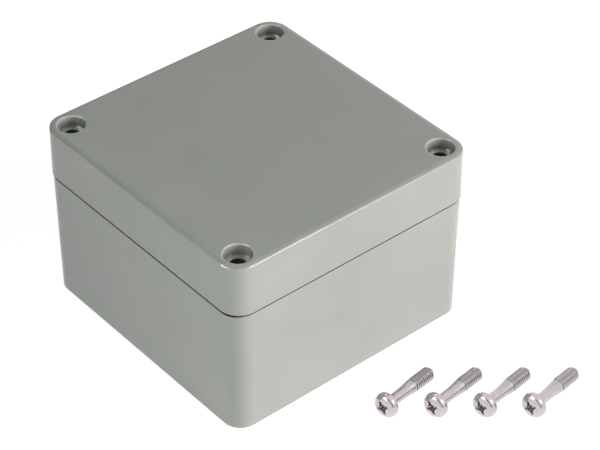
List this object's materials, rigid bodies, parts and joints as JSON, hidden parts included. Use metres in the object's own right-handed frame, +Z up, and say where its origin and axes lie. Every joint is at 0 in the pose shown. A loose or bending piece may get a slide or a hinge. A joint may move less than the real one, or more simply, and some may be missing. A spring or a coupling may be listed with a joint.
{
  "type": "screwed plastic enclosure",
  "caption": "Small moulded plastic box with a sealed lid held by counterbored corner screws, for mounting electronics; its lid screws lie beside it.",
  "frame": {"origin": "centre of the base's underside", "axes": "+X along the 80 mm side, +Y along the 82 mm side, +Z up out of the lid; the loose screws lie on the -Y side"},
  "size_m": [0.0835, 0.1282, 0.055],
  "materials": {
    "abs_grey": "satin moulded ABS, light grey",
    "seal_rubber": "soft black foam rubber",
    "insert_brass": "hexagonal bar, drilled and tapped",
    "screw_steel": "plain stainless steel"
  },
  "bodies": {
    "base": {"base_box": "abs_grey", "thread_insert_1": "insert_brass", "thread_insert_2": "insert_brass", "thread_insert_3": "insert_brass", "thread_insert_4": "insert_brass", "lid_screw_1": "screw_steel", "lid_screw_2": "screw_steel", "lid_screw_3": "screw_steel", "lid_screw_4": "screw_steel"},
    "cover": {"lid": "abs_grey", "lid_seal": "seal_rubber"}
  },
  "joints": [
    {"name": "lid_lift", "type": "slide", "parent": "base", "child": "cover", "axis": [0, 0, 1], "range_m": [0, 0.06]}
  ]
}
